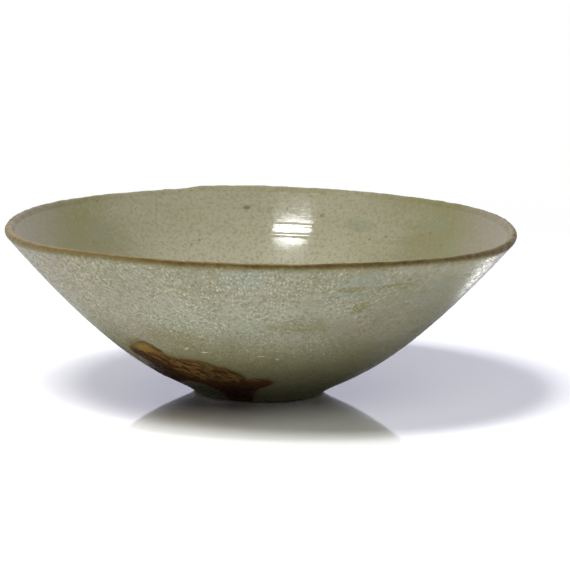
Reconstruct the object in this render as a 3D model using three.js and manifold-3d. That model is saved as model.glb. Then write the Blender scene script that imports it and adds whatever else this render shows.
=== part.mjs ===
// A shallow conical bowl of thrown stoneware, glazed inside and out, standing on a small turned foot.
//
// The clay is one turned body. On it lie thin coats of glaze, each a solid of its own: one inside the
// bowl, one outside, a thinner one over the round of the lip and one in the recess under the foot.
// Low on the outside the glaze crawled away in the fire, and a wrinkled crust fills the opening.
//
// Millimetres and degrees, +Z up. The origin is the centre of the foot, on the table. Azimuths run
// anticlockwise from +X, seen from above.
import * as THREE from "three";
import { mergeVertices } from "three/addons/utils/BufferGeometryUtils.js";
import Module from "manifold-3d";

// Outline of the finished bowl, over its glaze
const rimRadius = 85; // widest circle of the lip
const crestHeight = 56.5; // table to the mean crest of the lip
const lipThickness = 2.6; // across the round of the lip
const lipSlope = 50; // of the wall where it meets the lip, above the table
const lipPull = 61; // how far the lip's slope draws the wall's curve
const footRadius = 20.7; // the foot's side, carried down to the table
const footSideHeight = 1.5; // the foot's straight side, up to where the wall's curve sets off
const footSlope = 35; // of the foot's side, above the table
const footPull = 10.3; // how far the foot's slope draws the wall's curve

// Thicknesses of the wall and floor, both coats included
const wallThickness = 4.4; // low in the wall
const floorThickness = 4; // in the middle of the well
const wellStart = 0.2; // share of the wall's curve that the well's floor runs under
const wellBend = 6; // how far the wall's slope runs on into the well
const wellFlat = 12; // radius of the nearly flat middle of the well

// The turned foot
const ringWidth = 4; // of the bare clay ring that stands on the table
const recessDepth = 1.6; // from the table up to the glaze in the recess
const recessDraft = 0.8; // how much the recess narrows on its way up

// Coats of glaze, and the hairlines that part the solids
const wallGlaze = 0.45;
const lipGlaze = 0.25;
const scarCrust = 0.6;
const lipThinning = 8; // length of wall over which the coat thins towards the lip
const glazeLine = 0.6; // height above the table at which the outer coat ends
const outerLipBand = 0.6; // how far the lip's coat comes down the wall below its round, outside
const innerLipBand = 1.4; // the same inside
const fusionGap = 0.03; // between a coat and the clay under it
const seamGap = 0.12; // between the edges of two neighbouring coats

// The lip is not level: slow waves run round it, and it has one short step with a long fade
const rimWaves = [
  { lobes: 2, rise: 0.66, crestAzimuth: 77 },
  { lobes: 3, rise: 0.35, crestAzimuth: 24 },
  { lobes: 5, rise: 0.25, crestAzimuth: 15 },
];
const rimStep = { azimuth: 107, rise: 0.6, run: 3.4, fade: 32 };

// The crawled patch climbs this far out from the foot's radius. Its edge is a list of pairs, an azimuth
// and a share of that reach. It starts high on the left, tapers to a tip near the middle, and runs out
// over the foot's edge.
const scarReach = 35.4;
const scarEdge = [
  [-144, 0.88], [-137, 0.96], [-132, 1], [-128, 0.93], [-126, 0.85], [-120, 0.82], [-113, 0.82],
  [-107, 0.76], [-101, 0.71], [-97.5, 0.64], [-95.6, 0.56], [-92, 0.58], [-87, 0.58], [-83.5, 0.51],
  [-87, 0.42], [-91, 0.33], [-93.5, 0.18], [-95.5, 0.04], [-98, -0.08], [-114, -0.08], [-117.5, 0.04],
  [-117, 0.19], [-120, 0.35], [-126, 0.43], [-135, 0.4], [-146, 0.28], [-155, 0.31], [-159, 0.48],
  [-152, 0.58], [-145, 0.64], [-143.5, 0.72], [-147, 0.81],
];

// How finely the round shapes are divided
const facets = 64; // round the bowl
const wallSteps = 8;
const lipSteps = 5;
const wellSteps = 3;
const scarEdgeSteps = 96;

const wasm = await Module();
wasm.setup();

const radians = THREE.MathUtils.degToRad;
const mix = THREE.MathUtils.lerp;
const quarterTurn = 90;

// A step of length one at a slope above the table, outwards and up, and the same turned a quarter left
const along = (slope) => new THREE.Vector2(Math.cos(radians(slope)), Math.sin(radians(slope)));
const turnLeft = (v) => new THREE.Vector2(-v.y, v.x);

// Evenly spaced values, both ends included
const spaced = (from, to, steps) =>
  Array.from({ length: steps + 1 }, (_, i) => mix(from, to, i / steps));

// Rise of the lip's crest above its mean height, at an azimuth in degrees
function rimRise(azimuth) {
  const waves = rimWaves.map((w) => w.rise * Math.cos(radians(w.lobes * (azimuth - w.crestAzimuth))));
  const past = rimStep.azimuth - azimuth;
  const up = THREE.MathUtils.clamp(past / rimStep.run + 0.5, 0, 1);
  const fading = 1 - THREE.MathUtils.smoothstep(past, 0, rimStep.fade);
  return waves.reduce((sum, w) => sum + w, 0) + rimStep.rise * up * fading;
}

// Raises or lowers a wall by the lip's waves: all of it at the lip, none of it at the foot
function wave(geometry) {
  const p = geometry.getAttribute("position");
  for (let i = 0; i < p.count; i++) {
    const radius = Math.hypot(p.getX(i), p.getY(i));
    const share = Math.max(0, (radius - footRadius) / (rimRadius - footRadius));
    const azimuth = THREE.MathUtils.radToDeg(Math.atan2(p.getY(i), p.getX(i)));
    p.setZ(i, p.getZ(i) + rimRise(azimuth) * share ** 2);
  }
  return geometry;
}

// Turns an outline of [radius, height] points about Z. It runs from axis to axis, up the outside and
// back down the inside, or closes on itself.
function turned(outline) {
  const points = outline.map((v) => new THREE.Vector2(v.x, v.y));
  const closed = outline[0].x > 0;
  if (closed) points.push(points[0].clone());
  return wave(new THREE.LatheGeometry(points, facets).rotateX(Math.PI / 2));
}

// The outside of the wall, one curve from the foot's side to the root of the lip
const lipRadius = lipThickness / 2;
const lipCentre = new THREE.Vector2(rimRadius - lipRadius, crestHeight - lipRadius);
const onLip = (angle, radius) => along(angle).multiplyScalar(radius).add(lipCentre);
const footTop = along(footSlope)
  .multiplyScalar(footSideHeight / Math.sin(radians(footSlope)))
  .add(new THREE.Vector2(footRadius, 0));
const lipRoot = onLip(lipSlope - quarterTurn, lipRadius);
const wall = new THREE.CubicBezierCurve(
  footTop,
  along(footSlope).multiplyScalar(footPull).add(footTop),
  along(lipSlope).multiplyScalar(-lipPull).add(lipRoot),
  lipRoot,
);

// Places on the wall are shares of its curve. Near the lip the curve runs three times its pull a share.
const belowLip = (distance) => 1 - distance / (3 * lipPull);
const wallPoint = (share, inward) =>
  turnLeft(wall.getTangent(share)).multiplyScalar(inward).add(wall.getPoint(share));
const fullThickness = (share) => mix(wallThickness, lipThickness, share);

// Thickness of the coat on the wall, thinning towards the lip
const lipThinningShare = lipThinning / (3 * lipPull);
const coatAt = (share) =>
  mix(lipGlaze, wallGlaze, THREE.MathUtils.smoothstep(1 - share, 0, lipThinningShare));

// Points of the finished outline, sunk into the clay by a depth that depends on the place
const outside = (shares, depth) => shares.map((s) => wallPoint(s, depth(s)));
const inside = (shares, depth) => shares.map((s) => wallPoint(s, fullThickness(s) - depth(s)));
const overLip = (angles, depth) => angles.map((a) => onLip(a, lipRadius - depth));

// The floor of the well, a curve from the wall's inside to the middle of the bowl
const wellEdge = wallPoint(wellStart, fullThickness(wellStart));
const wellHeight = recessDepth + floorThickness;
const wellSlope = wall.getTangent(wellStart);
const well = new THREE.CubicBezierCurve(
  wellEdge,
  wellSlope.clone().multiplyScalar(-wellBend).add(wellEdge),
  new THREE.Vector2(wellFlat, wellHeight),
  new THREE.Vector2(0, wellHeight),
);
const wellFloor = (depth) =>
  spaced(0, 1, wellSteps)
    .slice(1)
    .map((s) => turnLeft(well.getTangent(s)).multiplyScalar(depth).add(well.getPoint(s)));

// Where the lip's coat hands over to the coats of the wall
const outerSeam = belowLip(outerLipBand);
const innerSeam = belowLip(innerLipBand);
const halfSeam = seamGap / 2 / (3 * lipPull);
const wallShares = spaced(0, outerSeam, wallSteps);
const innerShares = spaced(innerSeam, wellStart, wallSteps);
const lipAngles = spaced(lipSlope - quarterTurn, lipSlope + quarterTurn, lipSteps);

const sunk = (share) => coatAt(share) + fusionGap;
const lipSunk = lipGlaze + fusionGap;
const wallSunk = wallGlaze + fusionGap;

// The turned foot: a bare ring on the table, and a recess whose ceiling is glazed
const ringOuter = footRadius - wallSunk / Math.sin(radians(footSlope));
const ringInner = ringOuter - ringWidth;
const recessRadius = ringInner - recessDraft;
const clayCeiling = recessDepth + wallSunk;

function clayBody() {
  return turned([
    new THREE.Vector2(0, clayCeiling),
    new THREE.Vector2(recessRadius, clayCeiling),
    new THREE.Vector2(ringInner, 0),
    new THREE.Vector2(ringOuter, 0),
    ...outside(wallShares, sunk),
    ...overLip(lipAngles, lipSunk),
    ...inside(innerShares, sunk),
    ...wellFloor(wallSunk),
  ]);
}

function innerGlaze() {
  const shares = [innerSeam - halfSeam, ...innerShares.slice(1)];
  const onClay = [
    ...inside(shares, coatAt),
    ...wellFloor(wallGlaze),
  ];
  const face = [...inside(shares, () => 0), ...wellFloor(0)];
  return turned([...onClay.reverse(), ...face]);
}

// A coat on the outside of the wall, from the glaze line up to the lip's coat
function outerCoat(thickness) {
  const lineUp = new THREE.Vector2(footRadius + glazeLine / Math.tan(radians(footSlope)), glazeLine);
  const lineIn = turnLeft(along(footSlope)).multiplyScalar(wallGlaze).add(lineUp);
  const lineOut = turnLeft(along(footSlope)).multiplyScalar(wallGlaze - thickness).add(lineUp);
  const shares = [...wallShares.slice(0, -1), outerSeam - halfSeam];
  const proud = (s) => coatAt(s) * (1 - thickness / wallGlaze);
  return turned([
    lineOut,
    ...outside(shares, proud),
    ...outside(shares, coatAt).reverse(),
    lineIn,
  ]);
}

function lipCoat() {
  const outer = [outerSeam + halfSeam];
  const inner = [innerSeam + halfSeam];
  const face = [
    ...outside(outer, () => 0),
    ...overLip(lipAngles, 0),
    ...inside(inner, () => 0),
  ];
  const onClay = [
    ...outside(outer, coatAt),
    ...overLip(lipAngles, lipGlaze),
    ...inside(inner, coatAt),
  ];
  return turned([...face, ...onClay.reverse()]);
}

function baseCoat() {
  const radius = recessRadius - seamGap;
  const top = recessDepth + wallGlaze;
  return turned([
    new THREE.Vector2(0, recessDepth),
    new THREE.Vector2(radius, recessDepth),
    new THREE.Vector2(radius, top),
    new THREE.Vector2(0, top),
  ]);
}

// An upright block with the patch's outline in plan, grown or shrunk by a margin
function scarBlock(margin) {
  const corners = scarEdge.map(([azimuth, share]) =>
    along(azimuth).multiplyScalar(footRadius + share * scarReach),
  );
  const edge = new THREE.CatmullRomCurve3(
    corners.map((v) => new THREE.Vector3(v.x, v.y, 0)),
    true,
  );
  const upward = new THREE.Vector3(0, 0, 1);
  const plan = spaced(0, 1, scarEdgeSteps).slice(1).map((share) => {
    const away = edge.getTangentAt(share).cross(upward).multiplyScalar(margin);
    return edge.getPointAt(share).add(away);
  });
  const shape = new THREE.Shape(plan.map((v) => new THREE.Vector2(v.x, v.y)));
  const block = new THREE.ExtrudeGeometry(shape, { depth: crestHeight, bevelEnabled: false });
  return block.translate(0, 0, -crestHeight / 4);
}

// A closed mesh as a solid, for joins and cuts
function solid(geometry) {
  geometry.deleteAttribute("normal");
  geometry.deleteAttribute("uv");
  const merged = mergeVertices(geometry, 1e-4);
  return new wasm.Manifold(
    new wasm.Mesh({
      numProp: 3,
      vertProperties: merged.getAttribute("position").array,
      triVerts: new Uint32Array(merged.index.array),
    }),
  );
}

function geometryOf(cut) {
  const mesh = cut.getMesh();
  const geometry = new THREE.BufferGeometry();
  geometry.setAttribute("position", new THREE.BufferAttribute(mesh.vertProperties, 3));
  geometry.setIndex(new THREE.BufferAttribute(mesh.triVerts, 1));
  geometry.computeVertexNormals();
  return geometry;
}

const outerGlaze = () =>
  geometryOf(solid(outerCoat(wallGlaze)).subtract(solid(scarBlock(seamGap / 2))));
const kilnScar = () =>
  geometryOf(solid(outerCoat(scarCrust)).intersect(solid(scarBlock(-seamGap / 2))));

const clay = new THREE.MeshStandardMaterial({ color: 0x7d756a, roughness: 0.85, metalness: 0 });
const celadon = new THREE.MeshStandardMaterial({ color: 0x999579, roughness: 0.2, metalness: 0 });
const brownLip = new THREE.MeshStandardMaterial({ color: 0x7d6a42, roughness: 0.35, metalness: 0 });
const burnt = new THREE.MeshStandardMaterial({ color: 0x4a3018, roughness: 0.5, metalness: 0 });

function piece(name, geometry, material) {
  const mesh = new THREE.Mesh(geometry, material);
  mesh.name = name;
  return mesh;
}

const bowl = new THREE.Group();
bowl.name = "bowl";
bowl.add(
  piece("clay_body", clayBody(), clay),
  piece("inner_glaze", innerGlaze(), celadon),
  piece("outer_glaze", outerGlaze(), celadon.clone()),
  piece("lip_glaze", lipCoat(), brownLip),
  piece("base_glaze", baseCoat(), celadon.clone()),
  piece("kiln_scar", kilnScar(), burnt),
);

export default bowl;
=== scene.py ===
# %% [markdown]
# A celadon bowl, dressed around its turned model
#
# The bowl is thrown stoneware: a shallow cone on a small foot, glazed grey-green inside and out, with a
# brown lip where the glaze ran thin. Low on the outside the glaze crawled in the kiln and left a burnt,
# wrinkled patch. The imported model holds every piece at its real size. It is faceted, so this script
# builds each piece again on the same outline, finely enough to carry ripples, lines and wrinkles, and
# gives each one a finish made of nodes.

# %% Load the model
from math import cos, e, log, pi, radians, sin

import bpy
import numpy as np
from mathutils import Matrix, Vector, noise


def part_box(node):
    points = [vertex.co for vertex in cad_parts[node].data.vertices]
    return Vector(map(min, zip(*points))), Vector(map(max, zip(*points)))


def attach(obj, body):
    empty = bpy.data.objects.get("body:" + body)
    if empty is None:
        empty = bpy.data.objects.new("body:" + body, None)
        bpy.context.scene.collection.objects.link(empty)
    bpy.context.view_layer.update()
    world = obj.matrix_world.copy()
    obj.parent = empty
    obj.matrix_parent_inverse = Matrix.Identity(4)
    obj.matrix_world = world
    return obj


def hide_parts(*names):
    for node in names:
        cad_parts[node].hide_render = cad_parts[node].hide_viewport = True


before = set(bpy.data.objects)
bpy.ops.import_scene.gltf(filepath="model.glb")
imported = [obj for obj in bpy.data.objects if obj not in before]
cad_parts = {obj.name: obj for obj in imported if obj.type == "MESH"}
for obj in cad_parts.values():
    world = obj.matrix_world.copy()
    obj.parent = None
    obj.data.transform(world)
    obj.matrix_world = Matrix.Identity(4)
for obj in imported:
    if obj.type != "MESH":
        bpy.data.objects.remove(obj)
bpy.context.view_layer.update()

# %% [markdown]
# Sizes
#
# A potter checks a bowl with callipers at the mouth, the lip, the wall and the foot, and these are those
# sizes, in millimetres. The mouth is read from the model. The others can't be read off a box, so they
# are named here. Keeping them in one place means that every coat follows when one of them changes.

# %% Sizes of the bowl
MM = 0.001

lip_low, lip_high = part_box("lip_glaze")
rim_radius = (lip_high.x - lip_low.x) / 2 / MM
crest_height = 56.5
lip_thickness = 2.6
lip_slope = radians(50)  # how steeply the wall meets the lip
lip_pull = 61  # length of the wall curve's handle at the lip
foot_radius = 20.7
foot_side_height = 1.5
foot_slope = radians(35)
foot_pull = 10.3  # length of its handle at the foot

wall_thickness = 4.4  # low down, from where it thins to the lip's own
floor_thickness = 4
well_start = 0.2  # share of the wall at which the inside leaves it for the well
well_bend = 6
well_flat = 12

ring_width = 4
recess_depth = 1.6
recess_draft = 0.8

wall_glaze = 0.45
lip_glaze = 0.25
lip_thinning = 8  # how far below the lip the glaze begins to thin
glaze_line = 0.6  # height at which the outer coat begins
outer_lip_band = 0.6  # how far the lip's coat reaches past the round outside,
inner_lip_band = 1.4  # and inside
fusion_gap = 0.03  # between the clay and its coats
seam_gap = 0.02  # between one coat and the next

print("mouth", round(2 * rim_radius, 1), "mm across")

# %% [markdown]
# The outline
#
# Cut the bowl in half and the cut face has one outline: up the outside from the foot, over the round of
# the lip, down the inside and across the well to the middle. It could be drawn as a spline by hand. It
# is worked out from the sizes instead, with one curve for the wall, a half circle for the lip and one
# curve for the well, so that it is the model's own outline and not a likeness of it.

# %% Curves for the wall, lip and well
def along(slope):
    return np.array([cos(slope), sin(slope)])


def turn_left(direction):
    return np.stack([-direction[..., 1], direction[..., 0]], -1)


def bezier(corners, share):
    """Points and unit directions of a cubic curve at shares from 0 to 1."""
    p0, p1, p2, p3 = (np.array(c, float) for c in corners)
    t = np.atleast_1d(share)[:, None]
    points = (1 - t) ** 3 * p0 + 3 * (1 - t) ** 2 * t * p1 + 3 * (1 - t) * t**2 * p2 + t**3 * p3
    slope = (1 - t) ** 2 * (p1 - p0) + 2 * (1 - t) * t * (p2 - p1) + t**2 * (p3 - p2)
    return points, slope / np.linalg.norm(slope, axis=1, keepdims=True)


lip_radius = lip_thickness / 2
lip_centre = np.array([rim_radius - lip_radius, crest_height - lip_radius])
lip_root = lip_centre + lip_radius * along(lip_slope - pi / 2)
foot_edge = np.array([foot_radius, 0])
foot_top = foot_edge + foot_side_height / sin(foot_slope) * along(foot_slope)
wall = [
    foot_top,
    foot_top + foot_pull * along(foot_slope),
    lip_root - lip_pull * along(lip_slope),
    lip_root,
]


def smooth(value, low, high):
    """A soft step from 0 at low to 1 at high."""
    t = np.clip((value - low) / (high - low), 0, 1)
    return t * t * (3 - 2 * t)


def coat_thickness(share):
    thinning = lip_thinning / (3 * lip_pull)
    return lip_glaze + (wall_glaze - lip_glaze) * smooth(1 - share, 0, thinning)


# %% [markdown]
# The outline as a table
#
# Every later step asks the outline the same things: where it is, which way the clay lies and how thick
# the glaze is. The curves could answer each time, but each of them would need code of its own. So the
# answers are kept in one table, with a row for about each twentieth of a millimetre: radius, height, the
# two parts of the direction into the clay, and the thickness of the glaze. Glaze always lies on the
# outline and clay always lies under it. A step finds its rows by their distance from the crest.

# %% The whole outline as one table
samples = 1500  # rows for each of the outline's five stretches


def rows_of(points, inward, coat):
    return np.column_stack([points, inward, coat + 0 * points[:, 0]])


share = np.linspace(0, 1, samples)
outer_points, outer_direction = bezier(wall, share)
outer_side = rows_of(outer_points, turn_left(outer_direction), coat_thickness(share))

side_start = foot_edge + glaze_line / sin(foot_slope) * along(foot_slope)
side_points = side_start + share[:, None] * (foot_top - side_start)
foot_side = rows_of(side_points, turn_left(along(foot_slope)) + 0 * side_points, wall_glaze)

angle = lip_slope - pi / 2 + pi * share
lip_outward = np.column_stack([np.cos(angle), np.sin(angle)])
lip_round = rows_of(lip_centre + lip_radius * lip_outward, -lip_outward, lip_glaze)

share_down = 1 - (1 - well_start) * share
wall_points, wall_direction = bezier(wall, share_down)
thickness = wall_thickness + (lip_thickness - wall_thickness) * share_down
inner_points = wall_points + turn_left(wall_direction) * thickness[:, None]
inner_side = rows_of(inner_points, -turn_left(wall_direction), coat_thickness(share_down))

well_height = recess_depth + floor_thickness
well_edge = inner_points[-1]
well = [well_edge, well_edge - well_bend * wall_direction[-1], (well_flat, well_height), (0, well_height)]
well_points, well_direction = bezier(well, share)
well_floor = rows_of(well_points, turn_left(well_direction), wall_glaze)

outline = np.concatenate([foot_side, outer_side[1:], lip_round[1:], inner_side[1:], well_floor[1:]])
steps = np.linalg.norm(np.diff(outline[:, :2], axis=0), axis=1)
crest = np.argmax(outline[:, 1])
run = np.concatenate([[0], np.cumsum(steps)])
run -= run[crest]
print("outline", len(outline), "rows,", round(-run[0], 1), "mm outside and", round(run[-1], 1), "mm inside")

# %% [markdown]
# Uneven by hand
#
# No thrown bowl is true. This lip rises and dips by about a millimetre in slow waves round the mouth,
# and at one place behind it steps up sharply and fades away, which shows in the far rim. The waves could
# be pulled into the finished meshes by hand. A sum of a few cosines is used instead, because it lifts
# every piece in the same way, so that the coats stay on the clay.

# %% The lip's waves
rim_waves = [(2, 0.66, 77), (3, 0.35, 24), (5, 0.25, 15)]  # lobes, rise, azimuth of one crest
step_azimuth, step_rise = 107, 0.6
step_run, step_fade = 3.4, 32  # degrees over which it rises, and fades away


def rim_rise(azimuth):
    """Rise of the lip above its mean height, at azimuths in radians."""
    rise = sum(height * np.cos(lobes * (azimuth - radians(top))) for lobes, height, top in rim_waves)
    past = step_azimuth - np.degrees(azimuth)
    return rise + step_rise * np.clip(past / step_run + 0.5, 0, 1) * (1 - smooth(past, 0, step_fade))


def lifted(points):
    """Points in millimetres, raised by the waves: fully at the lip, not at all at the foot."""
    reach = np.maximum(0, np.hypot(points[:, 0], points[:, 1]) - foot_radius) / (rim_radius - foot_radius)
    rise = rim_rise(np.arctan2(points[:, 1], points[:, 0])) * reach**2
    return points + rise[:, None] * np.array([0, 0, 1])


rises = rim_rise(np.radians(np.arange(360)))
print("the lip lies", round(rises.min(), 2), "to", round(rises.max(), 2), "mm from its mean height")

# %% [markdown]
# Ripples and wear
#
# The walls keep the ripples of the potter's fingers, a few hundredths of a millimetre deep. Fine lines
# were cut round the inside with a tool, and the lip is worn and nicked. All of this could be bump in a
# material, but then the outline of the bowl and its highlights would stay perfect. Here it moves the
# surface itself.

# %% Ripples, cut lines and wear
slow_size = 22  # the ripples swell and wander in patches of this size
ripple_spacing = 4.6
ripple_height = 0.02
ripple_wander = 0.9
lump_size = 5
lump_height = 0.02
inside_calm = 0.12  # how much of the ripples and lumps is left on the smoother inside
cut_lines = [  # radius, depth, half width, azimuth of the middle and half length in degrees
    (69.9, 0.06, 0.3, 95, 60),
    (72.75, 0.03, 0.25, 79, 8),
    (58, 0.05, 0.5, 90, 180),
]
cut_wander = 0.2  # how far a cut line strays from its circle
lip_wear = 0.16
wear_size = 3.2
wear_reach = 2.2  # on either side of the crest
foot_calm = 8  # the relief fades out over this much of the radius above the foot


def mottle(points, size, octaves=2):
    """Smooth noise between about -1 and 1 at points in millimetres. Its patches are size across."""
    return np.array([noise.fractal(Vector(p) / size, 1.0, 2.0, octaves) for p in points.tolist()])


def relief(points, distance):
    """How far the surface stands out from its outline, at distances along it from the crest."""
    azimuth = np.arctan2(points[:, 1], points[:, 0])
    radius = np.hypot(points[:, 0], points[:, 1])
    slow = mottle(points, slow_size)
    turns = distance / ripple_spacing + azimuth / (2 * pi) + ripple_wander * slow
    ripples = ripple_height * (0.6 + slow) * np.sin(2 * pi * turns)
    lumps = lump_height * mottle(points * np.array([1, 1, 1.6]), lump_size)
    near_lip = np.exp(-((distance / wear_reach) ** 2))
    wear = lip_wear * near_lip * mottle(points, wear_size, 3)
    calm = np.where(distance > 0, inside_calm, 1)
    above_foot = smooth(radius, foot_radius, foot_radius + foot_calm)
    made = (calm * (ripples * (1 - near_lip) + lumps) + wear) * above_foot
    for at, depth, half_width, middle, half_length in cut_lines:
        off = (radius - at - cut_wander * slow) / half_width
        aside = np.abs((np.degrees(azimuth) - middle + 180) % 360 - 180)
        fading = 1 - smooth(aside, 0.7 * half_length, half_length)
        made -= np.where(distance > 0, depth * fading * (0.85 + 0.4 * slow) * np.exp(-(off**2)), 0)
    return made


# %% [markdown]
# From outline to solid
#
# Blender could turn an outline with its Screw modifier. Here the points are worked out directly, because
# each one also moves by the relief and the waves, which need to know where it is. A piece is a list of
# rings from one end of its profile to the other. A ring on the axis is a single point. A ring lies either
# on the finished face, with its relief, or so many millimetres below it.

# %% Stretches of the outline, and rings on it
columns = 480  # points round the bowl
azimuths = 2 * pi * np.arange(columns) / columns - pi
spin = np.column_stack([np.cos(azimuths), np.sin(azimuths)])


def stretch(start, end, step):
    """Rows of the outline, step apart, with their distance from the crest as the last column."""
    at = np.linspace(start, end, max(2, round(abs(end - start) / step) + 1))
    return np.column_stack([np.interp(at, run, outline[:, i]) for i in range(5)] + [at])


def ring(radius, height):
    if radius < 1e-6:
        return np.array([[0, 0, height]])
    return np.column_stack([radius * spin, np.full(columns, height)])


def face_ring(row):
    """The finished surface on one row of the outline, with its relief."""
    flat = ring(row[0], row[1])
    if len(flat) == 1:
        return flat
    inward = np.column_stack([row[2] * spin, np.full(columns, row[3])])
    return flat - relief(flat, row[5])[:, None] * inward


def sunk_ring(row, depth):
    return ring(max(0.0, row[0] + row[2] * depth), row[1] + row[3] * depth)


# %% [markdown]
# Closed skins
#
# Between two rings lie quads, or triangles where one ring is a point on the axis. Blender's bmesh can
# bridge rings pair by pair. With tens of thousands of faces in a piece it is quicker to number the corners
# with numpy and hand over the whole list. Each piece is a closed solid with its faces pointing out, as
# the real coat is. The printed volume proves it, because a skin turned inside out has less than none.

# %% Join rings into a closed mesh, and add it as a piece
def join_rings(below, above, numbers):
    """Faces between two rings, from the numbers of their vertices."""
    a, b = numbers[below], numbers[above]
    if len(a) == len(b) == 1:
        return []
    if len(a) == len(b):
        return np.column_stack([a, np.roll(a, -1), np.roll(b, -1), b]).tolist()
    if len(a) == 1:
        return np.column_stack([np.repeat(a, len(b)), np.roll(b, -1), b]).tolist()
    return np.column_stack([a, np.roll(a, -1), np.repeat(b, len(a))]).tolist()


def signed_volume(mesh):
    mesh.calc_loop_triangles()
    corners = np.zeros(len(mesh.loop_triangles) * 3, np.int32)
    mesh.loop_triangles.foreach_get("vertices", corners)
    places = np.zeros(len(mesh.vertices) * 3)
    mesh.vertices.foreach_get("co", places)
    a, b, c = places.reshape(-1, 3)[corners.reshape(-1, 3)].transpose(1, 0, 2)
    return np.einsum("ij,ij->", a, np.cross(b, c)) / 6


def mesh_of(name, points, faces):
    mesh = bpy.data.meshes.new(name)
    mesh.from_pydata((np.asarray(points) * MM).tolist(), [], faces)
    return mesh


def solid_of_rings(name, rings):
    """A closed mesh through the rings. If neither end is on the axis, the last ring joins the first."""
    numbers, count = [], 0
    for one in rings:
        numbers.append(np.arange(count, count + len(one)))
        count += len(one)
    pairs = list(zip(range(len(rings) - 1), range(1, len(rings))))
    if len(rings[0]) > 1 and len(rings[-1]) > 1:
        pairs.append((len(rings) - 1, 0))
    faces = [f for below, above in pairs for f in join_rings(below, above, numbers)]
    return mesh_of(name, lifted(np.concatenate(rings)), faces)


def add_piece(name, mesh, crease=35):
    mesh.shade_smooth()
    mesh.set_sharp_from_angle(angle=radians(crease))
    piece = bpy.data.objects.new(name, mesh)
    bpy.context.scene.collection.objects.link(piece)
    volume = signed_volume(mesh) / MM**3 / 1000
    print(f"{name}: {len(mesh.vertices)} vertices, {len(mesh.polygons)} faces, {volume:.2f} ml")
    return piece


# %% [markdown]
# The crawled patch
#
# Where dust or grease lay on the clay, the molten glaze drew back and left an opening. Its edge climbs
# high on the left, tapers to a tip and runs out over the foot. The edge is a closed curve through a few
# listed points, each an azimuth and a share of the patch's reach, and then roughened a little. The
# same curve cuts the opening in the coat and the outline of the crust that fills it, so that they meet.

# %% Edge of the patch
scar_reach = 35.4
scar_edge = [  # azimuth in degrees, share of the reach beyond the foot
    (-144, 0.88), (-137, 0.96), (-132, 1), (-128, 0.93), (-126, 0.85), (-120, 0.82), (-113, 0.82),
    (-107, 0.76), (-101, 0.71), (-97.5, 0.64), (-95.6, 0.56), (-92, 0.58), (-87, 0.58), (-83.5, 0.51),
    (-87, 0.42), (-91, 0.33), (-93.5, 0.18), (-95.5, 0.04), (-98, -0.08), (-114, -0.08), (-117.5, 0.04),
    (-117, 0.19), (-120, 0.35), (-126, 0.43), (-135, 0.4), (-146, 0.28), (-155, 0.31), (-159, 0.48),
    (-152, 0.58), (-145, 0.64), (-143.5, 0.72), (-147, 0.81),
]
edge_steps = 14
edge_raggedness = 0.45
raggedness_size = 2.2


def closed_curve(corners, steps):
    """A smooth closed curve through the corners, with so many points on each stretch."""
    before, after, beyond = (np.roll(corners, shift, axis=0) for shift in (1, -1, -2))
    t = (np.arange(steps) / steps)[:, None, None]
    pull = (after - before) / 2
    next_pull = (beyond - corners) / 2
    points = (
        (2 * t**3 - 3 * t**2 + 1) * corners
        + (t**3 - 2 * t**2 + t) * pull
        + (3 * t**2 - 2 * t**3) * after
        + (t**3 - t**2) * next_pull
    )
    return points.transpose(1, 0, 2).reshape(-1, 2)


scar_corners = np.array([(foot_radius + share * scar_reach) * along(radians(a)) for a, share in scar_edge])
smooth_edge = closed_curve(scar_corners, edge_steps)
across = turn_left(np.roll(smooth_edge, -1, axis=0) - np.roll(smooth_edge, 1, axis=0))
across /= np.linalg.norm(across, axis=1, keepdims=True)
edge_places = np.column_stack([smooth_edge, 0 * smooth_edge[:, 0]])
ragged = edge_raggedness * mottle(edge_places, raggedness_size, 3)
patch_edge = smooth_edge + across * ragged[:, None]
print("patch edge", len(patch_edge), "points")

# %% [markdown]
# How far inside the patch
#
# The coat thins towards the opening, the crust swells away from its edge, and the scorched halo follows
# it. All three need the distance to the edge and the side of it. Blender can measure the distance to a
# mesh, but not on which side of a curve a point lies. So both are worked out here: the nearest place on
# each short straight of the edge, and a count of the straights that a line to the right would cross.

# %% Distance inside the patch
def inside_patch(points):
    """Distance of points from the patch's edge, seen from above in millimetres: above 0 inside."""
    distance = np.full(len(points), 1e9)
    odd = np.zeros(len(points), bool)
    for a, b in zip(patch_edge, np.roll(patch_edge, -1, axis=0)):
        edge = b - a
        share = np.clip((points - a) @ edge / (edge @ edge), 0, 1)
        distance = np.minimum(distance, np.linalg.norm(points - a - share[:, None] * edge, axis=1))
        crosses = (a[1] > points[:, 1]) != (b[1] > points[:, 1])
        if a[1] != b[1]:
            at = a[0] + (points[:, 1] - a[1]) * (b[0] - a[0]) / (b[1] - a[1])
            odd ^= crosses & (points[:, 0] < at)
    return np.where(odd, distance, -distance)


# %% [markdown]
# Cutting along the edge
#
# The opening could be left out of the coat's own faces, but then its edge would run in steps from face to
# face. A Boolean modifier with an upright block of the patch's outline cuts along the curve itself, and
# leaves closed solids on both sides. Its Manifold solver is the quickest one for closed meshes. The
# modifier is applied at once and the block is deleted, so nothing of either stays in the scene.

# %% An upright block with the patch's outline, to cut with
block_bottom = -5.0


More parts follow.
